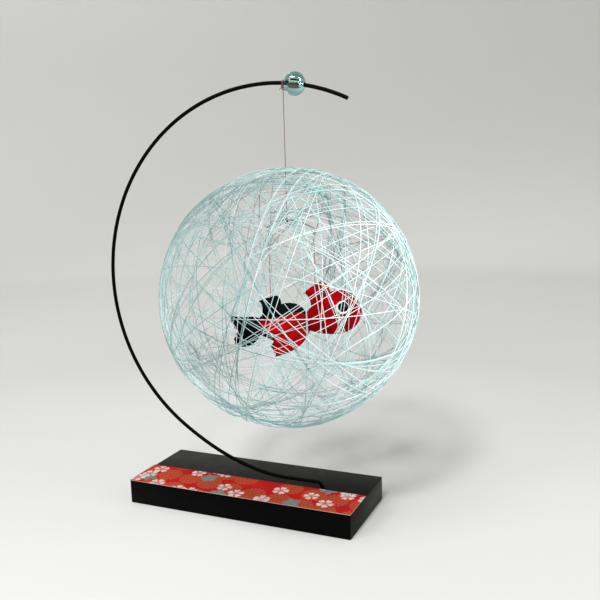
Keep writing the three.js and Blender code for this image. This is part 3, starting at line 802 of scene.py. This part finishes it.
def pupil_dome():
    """A low black dome that lies on the felt, nearly flat beneath."""
    bm = bmesh.new()
    bmesh.ops.create_uvsphere(bm, u_segments=32, v_segments=16, radius=PUPIL_RADIUS)
    for vert in bm.verts:
        vert.co.z = vert.co.z * (0.36 if vert.co.z > 0 else 0.1) + EYE_THICK + 0.12
        vert.co.z -= (vert.co.x ** 2 + vert.co.y ** 2) * PUPIL_DROOP
    return bm


for colour, fish in FISH.items():
    hang = bar_end(BAR_ARMS[colour])
    place = Matrix.Translation((hang.x, hang.y, fish["hang_z"] * MM)) @ Matrix.Scale(MM, 4)
    place = place @ Matrix.Rotation(math.radians(fish["heading"]), 4, "Z")
    place = place @ Matrix.Rotation(-math.radians(fish["pitch"]), 4, "Y")
    place = place @ Matrix.Translation((-fish["hang_x"], 0, -FISH_BACK - fish["fin_rise"]))
    cloth = crepe(f"{colour}_crepe", fish["colour"], fish["deep"])

    parts = [("body", fish_body(fish), Matrix(), cloth, f"{colour}_crepe"),
             ("dorsal", dorsal_fin(fish), Matrix(), cloth, f"{colour}_crepe")]
    for word, side in (("left", 1), ("right", -1)):
        apart = Matrix.Translation((TAIL_ROOT, 0, 0)) @ Matrix.Rotation(-side * TAIL_SPLAY, 4, "Z")
        apart = apart @ Matrix.Translation((0, side * (FIN_THICK / 2 + 0.15), 0))
        parts.append((f"tail_{word}", tail_fan(fish), apart, cloth, f"{colour}_crepe"))
        parts.append((f"eye_{word}", felt_disc(), cheek_place(side), felt, "white_felt"))
        ahead = Matrix.Translation((-side * PUPIL_AHEAD, PUPIL_UP, 0))
        parts.append((f"pupil_{word}", pupil_dome(), cheek_place(side) @ ahead, shine, "pupil_black"))
    for part, bm, own, material, slot in parts:
        bmesh.ops.transform(bm, matrix=place @ own, verts=bm.verts)
        name = f"{colour}_{part}"
        made = piece(name, to_mesh(name, bm), material)
        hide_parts(f"{colour}_fish_{part}")

    ring_bottom = hang - Vector((0, 0, BAR_RING + BAR_RADIUS))
    sewn_in = Vector((hang.x, hang.y, fish["hang_z"] * MM - 5.5 * MM))
    line = piece(f"{colour}_line", two_ply(f"{colour}_line", ring_bottom, sewn_in), rose)
    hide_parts(f"{colour}_thread")


# STUDIO
# A pale floor that turns up into a wall all round, with soft lights above, on the right and in
# front. A beam is kept to the ball and the fish and two glints to the bead. A key and a backdrop
# light reach the floor and wall alone, and the key throws the soft shadow behind the block.
FLOOR_RADIUS, FLOOR_HUB, COVE, WALL_TOP = 1.1, 0.001, 0.5, 1.7
PALE_FLOOR, PALE_WALL, PALER_FROM, PALER_TO = (0.43, 0.43, 0.42), (0.69, 0.69, 0.67), 0.4, 1.2
SKY, SKY_STRENGTH = (0.93, 0.95, 0.94), 0.47

bm = bmesh.new()
cove = [Vector((FLOOR_RADIUS + COVE * math.sin(a), 0, COVE - COVE * math.cos(a)))
        for a in (math.pi / 2 * k / 16 for k in range(17))]
outline = [Vector((FLOOR_HUB, 0, 0)), *cove, Vector((FLOOR_RADIUS + COVE, 0, WALL_TOP))]
verts = [bm.verts.new(place) for place in outline]
edges = [bm.edges.new(pair) for pair in zip(verts, verts[1:])]
bmesh.ops.spin(bm, geom=verts + edges, cent=(0, 0, 0), axis=(0, 0, 1), angle=2 * math.pi, steps=96,
               use_merge=True)
hub = [edge for edge in bm.edges if edge.is_boundary and edge.verts[0].co.z < 0.001]
bmesh.ops.contextual_create(bm, geom=hub)
floor_mesh = to_mesh("floor", bm)
paper = finish("pale_paper", PALE_WALL, 0.9, Specular_IOR_Level=0.1)
tree = paper.node_tree
place = node(tree, "TexCoord").outputs["Object"]
# Painted light: the paper is darker near the middle and paler farther out and up the wall, which brightens
# the far floor and wall that the lamps leave dim.
reach = node(tree, "VectorMath", {"operation": "LENGTH"}, Vector=place).outputs["Value"]
share = node(tree, "MapRange", None, Value=reach, From_Min=PALER_FROM, From_Max=PALER_TO)
coloured(tree, layer(tree, (*PALE_FLOOR, 1), share.outputs[0], (*PALE_WALL, 1)))
floor_mesh.materials.append(paper)
floor = bpy.data.objects.new("floor", floor_mesh)
scene.collection.objects.link(floor)

OVERHEAD, WINDOW, FRONT = (-0.009, -0.351, 0.872), (0.70, 0.018, 0.448), (-0.45, -0.75, 0.75)
BACKDROP, BACKDROP_AIM = (-0.92, 0.35, 1.3), Vector((-0.9, 1.1, 0.3))
BEAM, BEAM_AIM = (0.526, -0.11, 0.366), BALL_CENTRE + Vector((0.037, -0.018, 0))
KEY, KEY_AIM = (0.0, -1.4, 1.6), Vector((0.05, 0.1, 0))


def lamp(name, kind, place, aim, power, **settings):
    """A lamp that looks at a place."""
    data = bpy.data.lights.new(name, kind)
    data.energy = power
    for key, value in settings.items():
        setattr(data, key, value)
    made = bpy.data.objects.new(name, data)
    made.location = place
    made.rotation_euler = (aim - Vector(place)).to_track_quat("-Z", "Y").to_euler()
    scene.collection.objects.link(made)
    return made


def lights_only(light, pieces):
    """Keeps a lamp's light to some pieces."""
    lit = bpy.data.collections.new(f"{light.name}_lit")
    for made in pieces:
        lit.objects.link(made)
    light.light_linking.receiver_collection = lit


lamp("overhead", "AREA", OVERHEAD, bead_place, power=4, shape="ELLIPSE", size=0.45, size_y=0.2)
lamp("window", "AREA", WINDOW, bead_place, power=2.4, shape="ELLIPSE", size=0.2, size_y=0.45)
front = lamp("front", "AREA", FRONT, BALL_CENTRE, power=5, shape="DISK", size=0.5)
backdrop = lamp("backdrop", "AREA", BACKDROP, BACKDROP_AIM, power=5.4, shape="DISK", size=0.8)
beam = lamp("beam", "SPOT", BEAM, BEAM_AIM, power=18, shadow_soft_size=0.03,
            spot_size=math.radians(17), spot_blend=0.6)
key = lamp("key", "SPOT", KEY, KEY_AIM, power=165, shadow_soft_size=0.18,
           spot_size=math.radians(50), spot_blend=1.0)
for name, place, wide, tall in (("upper_glint", OVERHEAD, 0.75, 0.26), ("side_glint", WINDOW, 0.22, 0.85)):
    glint = lamp(name, "AREA", place, bead_place, power=17, shape="ELLIPSE", size=wide, size_y=tall)
    lights_only(glint, [bead, core])
meshes = [made for made in scene.collection.objects if made.type == "MESH"]
lights_only(beam, [made for made in meshes if made.name.startswith(("thread_ball", "red_", "black_"))])
lights_only(backdrop, [floor])
lights_only(key, [floor])
lights_only(front, [made for made in meshes if made not in (ball, block)])
world = bpy.data.worlds.new("studio")
world.use_nodes = True
sky = world.node_tree.nodes["Background"]
sky.inputs["Color"].default_value = (*SKY, 1)
sky.inputs["Strength"].default_value = SKY_STRENGTH
scene.world = world
scene.view_settings.view_transform = "Standard"
